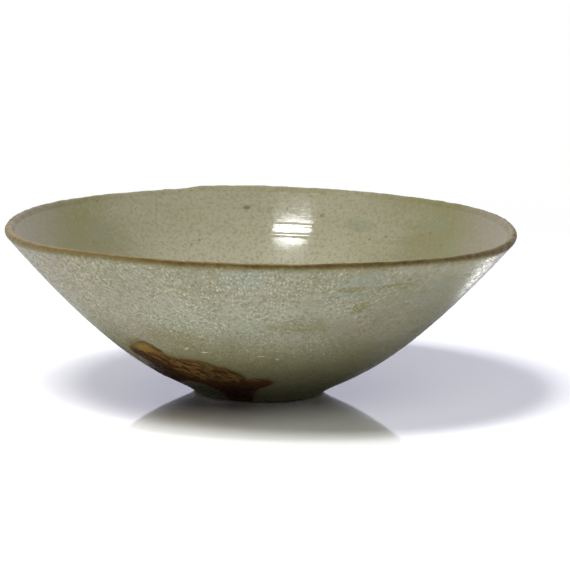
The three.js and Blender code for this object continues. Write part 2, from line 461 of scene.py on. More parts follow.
def patch_block(margin):
    """A block whose outline is the patch's edge, drawn in by a margin."""
    edge = patch_edge - across * margin
    count = len(edge)
    points = np.concatenate([
        np.column_stack([edge, np.full(count, block_bottom)]),
        np.column_stack([edge, np.full(count, crest_height)]),
    ])
    turning = np.cross(edge, np.roll(edge, -1, axis=0)).sum()
    low, high = list(range(count)), list(range(count, 2 * count))
    if turning < 0:
        low, high = low[::-1], high[::-1]
    sides = [[low[i - 1], low[i], high[i], high[i - 1]] for i in range(count)]
    block = bpy.data.objects.new("block", mesh_of("block", points, sides + [low[::-1], high]))
    bpy.context.scene.collection.objects.link(block)
    return block


def cut(mesh, operation, margin):
    """The mesh less the patch's block, or what both share."""
    block = patch_block(margin)
    piece = bpy.data.objects.new("cutting", mesh)
    bpy.context.scene.collection.objects.link(piece)
    boolean = piece.modifiers.new("cut", "BOOLEAN")
    boolean.operation = operation
    boolean.solver = "MANIFOLD"
    boolean.object = block
    graph = bpy.context.evaluated_depsgraph_get()
    result = bpy.data.meshes.new_from_object(piece.evaluated_get(graph))
    bpy.data.objects.remove(piece)
    bpy.data.objects.remove(block)
    return result


# %% [markdown]
# Marks that the finishes read
#
# A finish has to know how far it is from the lip, for the brown band, and from the patch, for the burnt
# halo. Height could stand in for the first, but the lip isn't level, and the patch's edge climbs and
# falls. So each vertex carries the two distances, in metres, and the finishes read them by name.

# %% Write the two distances on a mesh
def vertex_places(mesh):
    places = np.zeros(len(mesh.vertices) * 3)
    mesh.vertices.foreach_get("co", places)
    return places.reshape(-1, 3) / MM


def write_mark(mesh, name, values):
    mark = mesh.attributes.new(name, "FLOAT", "POINT")
    mark.data.foreach_set("value", (values * MM).astype(np.float32))


widest = np.argmax(outline[:, 0])


def mark_outer(mesh):
    """from_lip is along the wall, and patch is the distance inside its edge, seen from above."""
    places = vertex_places(mesh)
    radius = np.hypot(places[:, 0], places[:, 1])
    write_mark(mesh, "from_lip", np.interp(radius, outline[:widest, 0], -run[:widest]))
    write_mark(mesh, "patch", inside_patch(places[:, :2]))


# %% [markdown]
# The clay body
#
# Under the coats is one turned body. Only its foot ring shows, bare and a little gritty, because glaze
# there would have fused to the kiln shelf. A Solidify modifier could thicken the coats into a body, but
# they are thinner at the lip than on the wall. So the body is turned on the finished outline, sunk at
# each row by that row's coat and a hair more. Only the foot ring has a short profile of its own.

# %% Turn the clay body
ring_outer = foot_radius - (wall_glaze + fusion_gap) / sin(foot_slope)
ring_inner = ring_outer - ring_width
recess_radius = ring_inner - recess_draft
clay_ceiling = recess_depth + wall_glaze + fusion_gap
ring_round = 0.25  # how far the corners of the foot ring are worn
ring_grit = 0.05
grit_size = 0.9
body_step = 1.2

ring_profile = [  # radius, height
    (0, clay_ceiling), (recess_radius * 0.5, clay_ceiling), (recess_radius, clay_ceiling),
    (ring_inner - ring_round, ring_round * 1.4), (ring_inner, ring_round * 0.4),
    (ring_inner + ring_round, 0),
]
ring_flat = np.linspace(ring_inner + 2 * ring_round, ring_outer - 2 * ring_round, 12)
ring_profile += [(r, 0) for r in ring_flat]
ring_profile += [(ring_outer - ring_round, 0), (ring_outer, ring_round * 0.3)]


def gritty(one):
    """A ring of the bare foot, pitted upwards so that it still stands flat."""
    if len(one) > 1:
        one[:, 2] += ring_grit * np.clip(mottle(one, grit_size, 2), 0, 1)
    return one


foot_rings = [gritty(ring(r, z)) for r, z in ring_profile]
body_rows = stretch(run[0], run[-1], body_step)
body_rings = [sunk_ring(row, row[4] + fusion_gap) for row in body_rows]
clay_body = add_piece("stoneware_body", solid_of_rings("stoneware_body", foot_rings + body_rings))

# %% [markdown]
# The coats
#
# The glaze could be a painted band on one wall. On the real bowl it is a skin of glass with a thickness
# of its own, which shows wherever it ends, so each coat is a thin solid: its face is the finished surface
# with its relief, and its back lies on the clay. The inner coat runs from the lip's coat down over the
# well, and the lip's coat wraps the round of the lip. Their faces are fine enough to carry the ripples,
# and their backs, which nobody sees, are coarser.

# %% Inner coat and lip coat
outer_seam = -(lip_radius * (pi - lip_slope) + outer_lip_band)
inner_seam = lip_radius * lip_slope + inner_lip_band


def coat(name, start, end, step, back_step):
    """A coat on a stretch of the outline, marked with its distance from the lip: above 0 outside."""
    rows = stretch(start, end, step)
    back_rows = stretch(end, start, back_step)
    rings = [face_ring(row) for row in rows] + [sunk_ring(row, row[4]) for row in back_rows]
    mesh = solid_of_rings(name, rings)
    distances = np.concatenate([np.full(len(r), -row[5]) for r, row in zip(rings, [*rows, *back_rows])])
    write_mark(mesh, "from_lip", distances)
    return add_piece(name, mesh)


wall_step = 0.62
lip_step = 0.22
inner_coat = coat("inner_glaze_coat", inner_seam + seam_gap, run[-1], wall_step, back_step=4)
lip_coat = coat("lip_glaze_coat", outer_seam, inner_seam, lip_step, back_step=0.6)

# %% [markdown]
# The outer coat
#
# The outer coat runs up from a line just above the foot, and the patch is cut out of it. Towards the
# opening it thins, as glaze does where it drew back. A Bevel modifier could soften the edge of the cut,
# but it needs even edges, and a cut leaves uneven ones. So the face is thinned first, by its distance
# from the patch, and then cut.

# %% Outer coat, with its opening
edge_thinning = 0.6  # how much of the coat is left out at the opening's edge
edge_bevel = 0.9  # how far from the edge the coat thins


def outer_face(row):
    plain = ring(row[0], row[1])
    into_clay = np.column_stack([row[2] * spin, np.full(columns, row[3])])
    outside_edge = np.maximum(0, -inside_patch(plain[:, :2]))
    thinned = row[4] * edge_thinning * np.exp(-outside_edge / edge_bevel)
    return plain - (relief(plain, row[5]) - thinned)[:, None] * into_clay


outer_back_step = 2.5
outer_end = outer_seam - seam_gap
outer_rows = stretch(run[0], outer_end, wall_step)
outer_back = [sunk_ring(row, row[4]) for row in stretch(outer_end, run[0], outer_back_step)]
outer_whole = solid_of_rings("outer_whole", [outer_face(row) for row in outer_rows] + outer_back)
outer_mesh = cut(outer_whole, "DIFFERENCE", -seam_gap / 2)
mark_outer(outer_mesh)
outer_coat = add_piece("outer_glaze_coat", outer_mesh)

# %% [markdown]
# The coat in the recess
#
# The shallow recess inside the foot ring holds a pool of glaze of its own. A flat disc would do from most
# sides, but molten glaze draws back from the bare ring and thins at its edge. So the disc is turned from
# a short profile whose face curves off before it ends.

# %% Coat in the recess
recess_gap = 0.1
recess_radius_glazed = recess_radius - recess_gap
base_back = recess_depth + wall_glaze
base_profile = [  # share of the radius, height
    (0, recess_depth), (0.35, recess_depth), (0.7, recess_depth), (0.9, recess_depth),
    (0.97, recess_depth + 0.1), (1, recess_depth + 0.25), (1, base_back), (0, base_back),
]
base_mesh = solid_of_rings("base_glaze_coat", [ring(r * recess_radius_glazed, z) for r, z in base_profile])
base_coat = add_piece("base_glaze_coat", base_mesh)

# %% [markdown]
# The burnt crust
#
# The bare clay in the opening scorched and the last of the glaze dried on it in a skin, which wrinkled as
# it shrank. The folds run along the wall and droop to the right. They could be a bump, but the patch
# reaches the outline of the bowl on the left, where the photograph shows it ragged. So the crust is a
# fine grid over that part of the wall, folded in its mesh and cut with the patch's block.

# %% Grow the crust
crust_columns, crust_rows = 300, 190
crust_from, crust_to = radians(-163), radians(-80)
crust_reach = scar_reach + 2
crust_radius = 38  # in the middle of the patch, where the sheet of folds is true to size
crust_sunk = 0.12  # below the face of the wall
fold_spacing = 2.3
fold_stretch = 2.6  # how many times longer than wide
fold_droop = 0.35
fold_wander = 2.5
wander_size = 6
fold_sharpness = 1.9
fold_height = 0.34
fold_level = 0.25  # the share of a fold's height that lies below the wall
fold_inset = 2.5  # how far inside the edge the folds have their full height
fold_foot = 3  # and how high above the table
grain_size = 1.1
grain_height = 0.1


def fold_pattern(points):
    """Folds from 0 in the creases to 1 on the crests, long along the wall and drooping to the right."""
    radius = np.hypot(points[:, 0], points[:, 1])
    azimuth = np.arctan2(points[:, 1], points[:, 0])
    along_wall = (azimuth - crust_from) * crust_radius
    up_wall = radius + fold_droop * along_wall
    place = np.column_stack([along_wall / fold_stretch, up_wall, 0 * radius])
    wander = fold_wander * mottle(place, wander_size)
    folds = mottle(place + np.column_stack([0 * wander, wander, 0 * wander]), fold_spacing, 3)
    return np.clip(1 - fold_sharpness * np.abs(folds), 0, 1)


def crust_grid():
    azimuth = np.linspace(crust_from, crust_to, crust_columns)
    rows = stretch(run[0], -1, 0.05)
    rows = rows[rows[:, 0] < foot_radius + crust_reach]
    rows = rows[np.linspace(0, len(rows) - 1, crust_rows).astype(int)]
    turn = np.column_stack([np.cos(azimuth), np.sin(azimuth)])
    face = np.concatenate([np.column_stack([row[0] * turn, np.full(len(turn), row[1])]) for row in rows])
    inward = np.concatenate([np.column_stack([row[2] * turn, np.full(len(turn), row[3])]) for row in rows])
    return face, inward


def crust_solid():
    face, inward = crust_grid()
    deep = inside_patch(face[:, :2])
    fold = fold_pattern(face)
    swell = smooth(deep, 0, fold_inset) * smooth(face[:, 2], glaze_line, fold_foot)
    folded = fold_height * (fold - fold_level) + grain_height * mottle(face, grain_size, 2)
    stand = swell * folded - crust_sunk
    top = lifted(face - stand[:, None] * inward)
    bottom = lifted(face + wall_glaze * inward)
    number = np.arange(len(face)).reshape(crust_rows, crust_columns)
    near, far = number[:-1], number[1:]
    quads = np.stack([near[:, :-1], near[:, 1:], far[:, 1:], far[:, :-1]], -1).reshape(-1, 4)
    rim = np.concatenate([number[0, :-1], number[:-1, -1], number[-1, :0:-1], number[:0:-1, 0]])
    next_rim = np.roll(rim, -1)
    count = len(face)
    sides = np.column_stack([next_rim, rim, rim + count, next_rim + count])
    faces = quads.tolist() + (quads[:, ::-1] + count).tolist() + sides.tolist()
    return mesh_of("crust", np.concatenate([top, bottom]), faces)


crust_mesh = cut(crust_solid(), "INTERSECT", seam_gap / 2)
mark_outer(crust_mesh)
write_mark(crust_mesh, "fold", fold_pattern(vertex_places(crust_mesh)))  # read back as 0 to 1
crust = add_piece("scar_crust", crust_mesh)

# %% [markdown]
# Finishes as sums
#
# A finish in Blender is a web of nodes. Drawn by hand it is slow to change, and written out it is a page
# of links. Here a socket is wrapped in a small class, so that sums on sockets look like sums: mask * 0.5
# + 0.2 adds the Math nodes itself. A soft step between two values is used so often that it has a name.

# %% Sockets that add up
class Wire:
    """An output of a node, which can be added, taken away and multiplied like a number."""

    def __init__(self, finish, socket):
        self.finish, self.socket = finish, socket

    def __add__(self, other):
        return self.finish.maths("ADD", self, other)

    def __sub__(self, other):
        return self.finish.maths("SUBTRACT", self, other)

    def __rsub__(self, other):
        return self.finish.maths("SUBTRACT", other, self)

    def __mul__(self, other):
        return self.finish.maths("MULTIPLY", self, other)

    __radd__, __rmul__ = __add__, __mul__

    def between(self, low, high, at_low=0.0, at_high=1.0):
        """A soft step from at_low, where this is low, to at_high, where it is high."""
        ends = {"Value": self, "From Min": low, "From Max": high, "To Min": at_low, "To Max": at_high}
        return self.finish.node("MapRange", {"interpolation_type": "SMOOTHSTEP"}, ends)


# %% [markdown]
# One method for every node
#
# All other nodes come from one method, which takes a node's kind, its settings and the values or links of
# its sockets. The ones that most finishes need get short names: a tint of one colour over another, noise
# by its size in millimetres, a distance, and the marks that the vertices carry. Colours are written as a
# screen shows them, from 0 to 255, and turned into light here.

# %% A finish that holds its nodes
class Finish:
    """The nodes of one material or of the world."""

    def __init__(self, holder):
        self.holder = holder
        holder.use_nodes = True
        self.tree = holder.node_tree
        self.tree.nodes.clear()

    def node(self, kind, settings=None, sockets=None, output=0):
        made = self.tree.nodes.new("ShaderNode" + kind)
        for name, value in (settings or {}).items():
            setattr(made, name, value)
        for name, value in (sockets or {}).items():
            if isinstance(value, Wire):
                self.tree.links.new(value.socket, made.inputs[name])
            else:
                made.inputs[name].default_value = value
        return Wire(self, made.outputs[output]) if len(made.outputs) else None

    def maths(self, operation, first, second=0.0):
        return self.node("Math", {"operation": operation}, {0: first, 1: second})

    def scaled(self, place, factors):
        """A place with each of its three parts multiplied."""
        return self.node("VectorMath", {"operation": "MULTIPLY"}, {0: place, 1: factors})

    def distance(self, place, middle=(0, 0, 0)):
        return self.node("VectorMath", {"operation": "DISTANCE"}, {0: place, 1: middle}, output="Value")

    def tint(self, mask, under, over):
        """The colour under, with over laid on it where the mask is 1."""
        return self.node("Mix", {"data_type": "RGBA"}, {0: mask, 6: under, 7: over}, output=2)

    def noise(self, place, size, detail=2.0, roughness=0.5):
        """Smooth noise around 0.5 with patches of a size in millimetres."""
        sockets = {"Vector": place, "Scale": 1 / (size * MM), "Detail": detail, "Roughness": roughness}
        return self.node("TexNoise", None, sockets)

    def mark(self, name):
        """What write_mark has put on the vertices, in millimetres again."""
        return self.node("Attribute", {"attribute_name": name}, output="Fac") * (1 / MM)

    def blend(self, mask, first, second):
        """The first shader, with the second in its place where the mask is 1."""
        return self.node("MixShader", None, {0: mask, 1: first, 2: second})

    def surface(self, shader, output="OutputMaterial"):
        self.node(output, None, {"Surface": shader})
        print(self.holder.name, "has", len(self.tree.nodes), "nodes")
        return self.holder

    def principled(self, looks):
        return self.surface(self.node("BsdfPrincipled", None, looks))


def new_finish(name):
    """The finish of a new material, and the place of each point on the object."""
    finish = Finish(bpy.data.materials.new(name))
    return finish, finish.node("TexCoord", output="Object")


def paint(red, green, blue):
    """A colour as a screen shows it."""
    shown = np.array([red, green, blue]) / 255
    light = np.where(shown <= 0.04045, shown / 12.92, ((shown + 0.055) / 1.055) ** 2.4)
    return (*light.tolist(), 1.0)


# %% [markdown]
# Places on the wall
#
# A real glaze has marks at certain places: a smear, a pinhole, a bluish cloud. To put one down, the
# finish unrolls the wall. The angle round the bowl and the logarithm of the radius make a flat sheet, on
# which a spot that is round from above stays round. A spot is then the distance from its middle,
# stretched and turned. It would be as easy to paint a picture and wrap it round, but a spot made of
# nodes has no pixels.

# %% Unroll the wall and lay spots on it
spot_core = 0.35  # the share of a spot's half size that has its full strength


def axes_of(finish, place):
    return [finish.node("SeparateXYZ", None, {0: place}, output=axis) for axis in "XYZ"]


def unrolled(finish, place):
    """The sheet, the bearing in degrees and the radius in millimetres."""
    x, y, _ = axes_of(finish, place)
    radius = finish.distance(finish.scaled(place, (1, 1, 0)))
    bearing = finish.maths("ARCTAN2", y, x)
    sheet = finish.node("CombineXYZ", None, {"X": bearing, "Y": finish.maths("LOGARITHM", radius, e)})
    return sheet, bearing * (180 / pi), radius * (1 / MM)


def on_sheet(finish, sheet, azimuth, radius, wide, tall, tilt=0.0):
    """The sheet with a place as its middle, where 1 is so many millimetres round the bowl and outwards."""
    frame_of_spot = {
        "Vector": sheet,
        "Location": (radians(azimuth), log(radius * MM), 0),
        "Rotation": (0, 0, radians(tilt)),
        "Scale": (wide / radius, tall / radius, 1),
    }
    return finish.node("Mapping", {"vector_type": "TEXTURE"}, frame_of_spot)


def lay_spots(finish, sheet, ragged, colour, spots):
    """A colour with spots on it. Each is a shade and a strength, then a place as on_sheet takes it."""
    for shade, strength, *where in spots:
        away = finish.distance(on_sheet(finish, sheet, *where)) + ragged
        colour = finish.tint(away.between(spot_core, 1, 1, 0) * strength, colour, shade)
    return colour


# %% [markdown]
# Celadon
#
# Celadon is a clear grey-green glaze over grey clay. From close by it is not one green: slow clouds of
# olive and grey drift through it, and thin bands run round the wall where it was wiped. One noise with
# many octaves could stand for all of that, but it looks like smoke. Here each of them is a noise of its
# own size and shape, laid over the last, and both walls share them. The surface itself has a skin like
# an orange's, too shallow to show in the outline, so that one is bump.

# %% Clouds, bands and skin of the glaze
olive = paint(137, 131, 98)
misty = paint(166, 163, 144)
skin_depth = 0.1
cloud_size = 24
band_height = 1.5


def clouded(finish, place, light, dark):
    """The slow clouds, the wiped bands and the fine mottling that both walls share."""
    colour = finish.tint(finish.noise(place, cloud_size, 3).between(0.4, 0.62), dark, light)
    wiped = finish.scaled(place, (1, 1, cloud_size / band_height))
    colour = finish.tint(finish.noise(wiped, cloud_size, 3).between(0.42, 0.6, 0, 0.5), colour, dark)
    mottling = finish.noise(place, 1.7, 3)
    colour = finish.tint(mottling.between(0.45, 0.7, 0, 0.3), colour, misty)
    return finish.tint(mottling.between(0.3, 0.5, 0.15, 0), colour, olive)


def skin(finish, place, peel, pits):
    """A bump like the skin of an orange, with finer pits in it."""
    height = finish.noise(place, 2.4, 2) * peel + finish.noise(place, 0.8, 1) * pits
    return finish.node("Bump", None, {"Strength": 0.6, "Distance": skin_depth * MM, "Height": height})


# %% [markdown]
# Bubbles
#
# The glaze is full of fine bubbles, which show as pale round specks, most of them well under a
# millimetre across. Smooth noise can't make round dots of one size. A Voronoi texture can: it gives the
# distance to the nearest of many scattered points, and each point's own colour decides how strong its
# speck is. It lies on the unrolled wall and not in space, because a wall cuts through a cloud of balls at
# all heights, and most of them would show as faint small slices.

# %% Specks on the unrolled wall
pale_speck = paint(214, 210, 174)
speck_radius = 65


def specks(finish, sheet, spacing, size, least=0.1):
    """Round dots, sized in millimetres where the wall is as wide as at speck_radius."""
    flat = {"voronoi_dimensions": "2D"}
    cells = {"Vector": sheet, "Scale": speck_radius / spacing}
    reach = size / spacing / 2
    dots = finish.node("TexVoronoi", flat, cells).between(reach / 2, reach, 1, 0)
    chance = finish.node("TexVoronoi", flat, cells, output="Color")
    strength = finish.node("SeparateColor", None, {0: chance}).between(0.1, 0.9, least, 1)
    return dots * strength


# %% [markdown]
# The brown lip
#
# Glaze runs off an edge while it is molten, and the iron in the clay burns brown through what is left.
# The brown is darkest on the outer half of the round, deeper at the right of the mouth and warmer at the
# left, and it feathers out in an olive glow below. Inside there is only a thin olive edge. On the crest a
# pale tan line is a painted highlight, where the round of the lip catches the lamp, fainter towards the
# right. The lip's coat alone could carry all this, but then its lower edge would be a seam. So all three
# coats lay the same bands over their own colour, by the distance from the crest.

# %% Bands of the lip
lip_brown = paint(72, 55, 12)
lip_umber = paint(98, 80, 34)
lip_warm = paint(126, 106, 58)
lip_glow = paint(110, 100, 54)
lip_olive = paint(122, 112, 76)
lip_tan_highlight = paint(142, 124, 82)
run_down = 1.6  # how much further the brown ran at the right


def lip_bands(finish, place, colour):
    """The glow, the olive edge, the brown and the painted highlight on the crest, in this order over a
    colour.
    """
    _, bearing, _ = unrolled(finish, place)
    from_crest = finish.mark("from_lip")
    at_right = bearing.between(-38, -16) * bearing.between(20, 40, 1, 0)
    wander = finish.noise(place, 12, 3) - 0.5
    feather = finish.noise(place, 1.3, 3) - 0.5
    outside = from_crest + wander * 1.4 + feather * 1.1 - at_right * run_down
    inside = from_crest * -1 + wander * 0.5 + feather * 0.4

    glow = outside.between(1.4, 4.6, 0.75, 0) * from_crest.between(0, 0.4)
    colour = finish.tint(glow, colour, lip_glow)
    olive_edge = inside.between(0.1, 0.7, 0.85, 0) * from_crest.between(0, 0.3, 1, 0)
    colour = finish.tint(olive_edge, colour, lip_olive)

    brown = finish.tint(finish.noise(place, 2.5, 4, 0.7).between(0.35, 0.65), lip_brown, lip_umber)
    brown = finish.tint(bearing.between(-130, -100, 0.65, 0), brown, lip_warm)
    colour = finish.tint(outside.between(1.3, 2.6, 1, 0) * from_crest.between(0.1, 0.5), colour, brown)

    # Painted highlight: a pale tan line along the crest, strongest at the front and left.
    crest_line = from_crest.between(-0.4, -0.1) * (from_crest + feather * 0.8).between(0.6, 1.1, 1, 0)
    crest_highlight_patches = finish.noise(place, 16, 2).between(0.36, 0.54, 0.4, 1) * bearing.between(-82, -68, 1, 0.15)
    return finish.tint(crest_line * crest_highlight_patches, colour, lip_tan_highlight)


# %% [markdown]
# Marks on the inside
#
# Near the far lip the inside has a brown smear and a few olive spots. There are pinholes where bubbles
# burst, and broad soft stains of olive and green at the sides; the two broadest olive ones are partly
# painted shade on the side walls. A pinkish spot at the right end of the mouth is a painted reflection.
# Noise could scatter marks like these, but never at the places where this bowl has them, so each is one
# row in a list of spots.

# %% Spots of the inside
inner_olive = paint(136, 131, 84)
inner_green = paint(136, 141, 110)
iron_brown = paint(104, 92, 50)
pinkish_painted_sheen = paint(138, 128, 110)
pinhole = paint(84, 76, 50)
inner_spots = [  # colour, strength, azimuth, radius, half width, half height, tilt
    (iron_brown, 0.85, 93.8, 77.2, 2.2, 0.75, -4),
    (iron_brown, 0.6, 73.5, 75.8, 1.2, 0.8),
    (iron_brown, 0.5, 77.5, 80.9, 1.0, 0.6),
    (iron_brown, 0.3, 87.8, 77.0, 1.3, 1.0),
    # The two broad olive stains at the sides are partly the glaze's colour and partly painted shade.
    (inner_olive, 0.9, 158, 74, 34, 12),
    (inner_olive, 0.9, 28, 74, 34, 12),
    # Painted reflection: a pinkish haze at the right end of the mouth.
    (pinkish_painted_sheen, 0.7, 4, 80, 14, 9),
    (inner_green, 0.6, 38, 77, 9, 4),
    (inner_green, 0.5, 24, 73, 9, 4),
    (inner_green, 0.5, 140, 74, 10, 4),
    (inner_green, 0.5, 62, 74, 9, 2.5),
]
pinholes = [  # azimuth, radius
    (167.6, 79.2), (165.6, 76.3), (144.1, 71.3), (134.4, 81.6), (111.1, 67.5), (108.3, 68.6), (83.1, 77.1),
    (64.4, 71.2), (57.4, 70.4), (38.2, 74.4), (41.1, 73.6), (52.5, 71.6), (30.8, 71.8), (80.6, 69.1),
]
inner_spots += [(pinhole, 0.7, azimuth, radius, 0.5, 0.6) for azimuth, radius in pinholes]
print(len(inner_spots), "spots inside")

# %% [markdown]
# The glaze of the inside
#
# The inside is the smoothest face, so it holds the one sharp highlight. In the middle it is pale, partly
# its own colour and partly a painted sheen round the highlight. At the sides it is more olive, partly
# painted shade, and at the two ends of the mouth a lilac painted reflection lies on it, where it is duller.
# One material with masks for these was chosen over several materials side by side, because they melt
# into each other.
# The gloss has two parts, as the real one has: a sharp one, which carries the bumps, and a faint haze
# from the worn surface, which is the coat of the shader. The colour is a function of its own, so that
# the lip's coat can carry it on up to the crest.

# %% Inner celadon
sage = paint(154, 150, 118)
pale_sage_and_sheen = paint(190, 186, 158)
lilac_painted_sheen = paint(154, 143, 126)


def from_middle(finish, place):
    """How far to the left or right of the bowl's middle, in metres."""
    x, _, _ = axes_of(finish, place)
    return finish.maths("ABSOLUTE", x)


def inner_colour(finish, place):
    """The glaze of the inside, with its spots, before the lip's brown."""
    sheet, bearing, radius = unrolled(finish, place)
    ragged = (finish.noise(place, 1.2, 2) - 0.5) * 0.9
    colour = clouded(finish, place, sage, inner_olive)
    # Painted sheen in part: the far wall, round the highlight, is paler.
    far_wall_sheen = bearing.between(38, 70) * bearing.between(115, 145, 1, 0) * radius.between(60, 80, 1, 0.55)
    colour = finish.tint(far_wall_sheen * 0.85, colour, pale_sage_and_sheen)
    colour = lay_spots(finish, sheet, ragged, colour, inner_spots)
    # Painted reflection: a lilac haze at the two ends of the mouth.
    aside = from_middle(finish, place) + (finish.noise(place, 8, 3) - 0.5) * (10 * MM)
    colour = finish.tint(aside.between(62 * MM, 78 * MM, 0, 0.85), colour, lilac_painted_sheen)
    colour = finish.tint(finish.noise(place, 1.1, 3).between(0.32, 0.55, 0.55, 0), colour, inner_olive)
    return finish.tint(specks(finish, sheet, 1.3, 0.7) * 0.12, colour, pale_speck)


def inner_finish():
    finish, place = new_finish("inner_celadon")
    aside = from_middle(finish, place).between(40 * MM, 66 * MM)
    return finish.principled({
        "Base Color": lip_bands(finish, place, inner_colour(finish, place)),
        "Roughness": finish.noise(place, 1.5, 2).between(0.3, 0.7, 0.05, 0.1) + aside * 0.36,
        "Normal": skin(finish, place, 0.08, 0.05),
        "Coat Weight": 0.2 - aside * 0.2,
        "Coat Roughness": 0.2,
    })


inner_celadon = inner_finish()

# %% [markdown]
# Marks on the outside
#
# Under the lip in front lie bluish clouds and two olive streaks, low down are a few pale flecks, which are
# scratches and painted glints, and near the crawled patch the glaze is stained ochre and brown. Two dark
# spots beside the patch are painted shade, one of them over burnt glaze by the foot. They could be cut or
# raised in the mesh, but the real ones lie in the glass and not on it. So they are colour, in rows of a
# list as inside.

# %% Spots of the outside
outer_olive = paint(114, 109, 60)
dusk = paint(132, 125, 106)
blue_green = paint(130, 136, 124)
burnt_green_and_shade = paint(34, 29, 15)
left_edge_shade = paint(80, 66, 38)
soft_ochre = paint(118, 100, 50)
scratch_and_glint = paint(205, 200, 170)
outer_spots = [  # colour, strength, azimuth, radius, half width, half height, tilt
    (dusk, 0.7, -150, 76, 30, 16),
    (dusk, 0.5, -128, 62, 14, 7),
    (dusk, 0.5, -60, 66, 12, 6),
    (blue_green, 0.7, -94, 81.5, 9, 4.5),
    (blue_green, 0.6, -70.5, 76.3, 8, 2.6),
    (blue_green, 0.55, -66, 81, 14, 3.5),
    (blue_green, 0.4, -45, 74, 14, 6),
    (outer_olive, 0.7, -68.5, 78.6, 7.5, 0.9, 3),
    (outer_olive, 0.8, -57, 79.2, 9, 0.8, 4),
    (outer_olive, 0.7, -64, 71.8, 4, 2.8),
    (outer_olive, 0.5, -78, 66, 14, 4),
    (outer_olive, 0.4, -118, 60, 14, 5),
    (iron_brown, 0.7, -54.4, 78.2, 1.6, 0.6),
    (iron_brown, 0.6, -133.7, 76.7, 1.2, 1.0),
    (iron_brown, 0.35, -48, 76, 4, 1.2),
    # Painted shade as well as burnt glaze: a near-black green low on the wall, left of the foot.
    (burnt_green_and_shade, 0.95, -126, 28, 19, 7.5),
    # Painted shade: a dark brown on the strip between the patch and the bowl's left edge.
    (left_edge_shade, 0.85, -153, 47, 8, 4.5, -20),
    (soft_ochre, 0.85, -139.5, 54.6, 5.5, 2.4, 10),
    (soft_ochre, 0.5, -124, 51.4, 4, 1.2, -10),
    # Pale flecks low on the front: partly scratches, partly painted glints.
    (scratch_and_glint, 0.8, -108.8, 54.7, 2.0, 0.35, 8),
    (scratch_and_glint, 0.6, -114.8, 55.7, 1.6, 0.4, 25),
    (scratch_and_glint, 0.5, -89.6, 54.0, 2.2, 0.3),
    (scratch_and_glint, 0.8, -83.7, 52.6, 0.7, 0.5),
]
print(len(outer_spots), "spots outside")

# %% [markdown]
# The glaze of the outside
#
# The outside is duller and fired with far more bubbles, densest at the left. A grey mist lies round its
# middle in front, and low down it is darker and browner, partly from glaze that pooled there and partly as
# painted shade towards the foot. One colour ramp over the height would run level all round.
# of height, bearing or noise, or of several together. The coat of the shader is patchy here, because the
# worn glaze is glossy only in places. Round the crawled patch it has a thin scorched halo.

# %% Outer celadon
grey_green = paint(126, 124, 97)
pale_grey = paint(139, 137, 115)
mist_grey = paint(146, 148, 132)
pooled_glaze_and_shade = paint(92, 89, 48)
speck_shade = paint(100, 99, 72)
halo_brown = paint(104, 84, 38)


def outer_colour(finish, place):
    """The glaze of the outside, with its spots and bubbles, before the lip's brown."""
    _, _, height = axes_of(finish, place)
    sheet, bearing, _ = unrolled(finish, place)
    colour = clouded(finish, place, pale_grey, grey_green)

    belt = height.between(24 * MM, 36 * MM) * height.between(38 * MM, 48 * MM, 1, 0)
    in_front = bearing.between(-140, -105) * bearing.between(-75, -50, 1, 0)
    mist = belt * in_front * finish.noise(place, 18, 3).between(0.3, 0.6, 0.4, 0.9)
    colour = finish.tint(mist, colour, mist_grey)
    # Darker towards the foot: partly glaze that pooled there, partly painted shade.
    colour = finish.tint(height.between(16 * MM, 32 * MM, 0.6, 0), colour, outer_olive)
    colour = finish.tint(height.between(2 * MM, 23 * MM, 0.95, 0), colour, pooled_glaze_and_shade)
    # Painted shade: a darker olive laid over the left side of the wall.
    colour = finish.tint(bearing.between(-160, -120, 0.4, 0), colour, outer_olive)

    ragged = (finish.noise(place, 4, 3) - 0.5) * 1.4
    colour = lay_spots(finish, sheet, ragged, colour, outer_spots)

    dense = finish.noise(place, 13, 2).between(0.35, 0.6, 0.3, 1) * bearing.between(-75, -40, 1, 0.4)
    dense = dense * height.between(4 * MM, 22 * MM, 0.25, 1)
    between_specks = finish.noise(place, 1.1, 3).between(0.35, 0.55, 0.6, 0)
    colour = finish.tint(between_specks * dense.between(0, 0.6, 0.5, 1), colour, speck_shade)
    colour = finish.tint(specks(finish, sheet, 0.95, 0.64, 0.2) * dense * 0.32, colour, pale_speck)
    return finish.tint(specks(finish, sheet, 3.4, 0.9) * dense * 0.3, colour, pale_speck)


def outer_finish():
    finish, place = new_finish("outer_celadon")
    ragged = (finish.noise(place, 1.6, 3) - 0.5) * 3
    halo = (finish.mark("patch") + ragged).between(-2.0, 0.2, 0, 0.8)
    colour = finish.tint(halo, outer_colour(finish, place), halo_brown)
    return finish.principled({
        "Base Color": lip_bands(finish, place, colour),
        "Roughness": finish.noise(place, 2, 2).between(0.3, 0.7, 0.4, 0.6),
        "Normal": skin(finish, place, 0.4, 0.2),
        "Coat Weight": finish.noise(place, 1.1, 3).between(0.42, 0.6, 0, 0.8),
        "Coat Roughness": 0.22,
    })


outer_celadon = outer_finish()

# %% [markdown]
# The lip's coat
#
# The lip's coat is a narrow strip over the round. A plain brown would do from far away. From close by it
# would show as a smooth band, so it has the glaze of the inside on its one half and that of the outside
# on its other half, both under the same brown. It is duller than either, because it is worn.

# %% Brown lip
def lip_finish():
    finish, place = new_finish("brown_lip")
    within, without = inner_colour(finish, place), outer_colour(finish, place)
    colour = finish.tint(finish.mark("from_lip").between(0, 0.4), within, without)
    return finish.principled({
        "Base Color": lip_bands(finish, place, colour),
        "Specular IOR Level": 0.3,
        "Roughness": finish.noise(place, 2.4, 3).between(0.3, 0.7, 0.4, 0.65),
        "Normal": skin(finish, place, 0.6, 0.4),
    })


brown_lip = lip_finish()

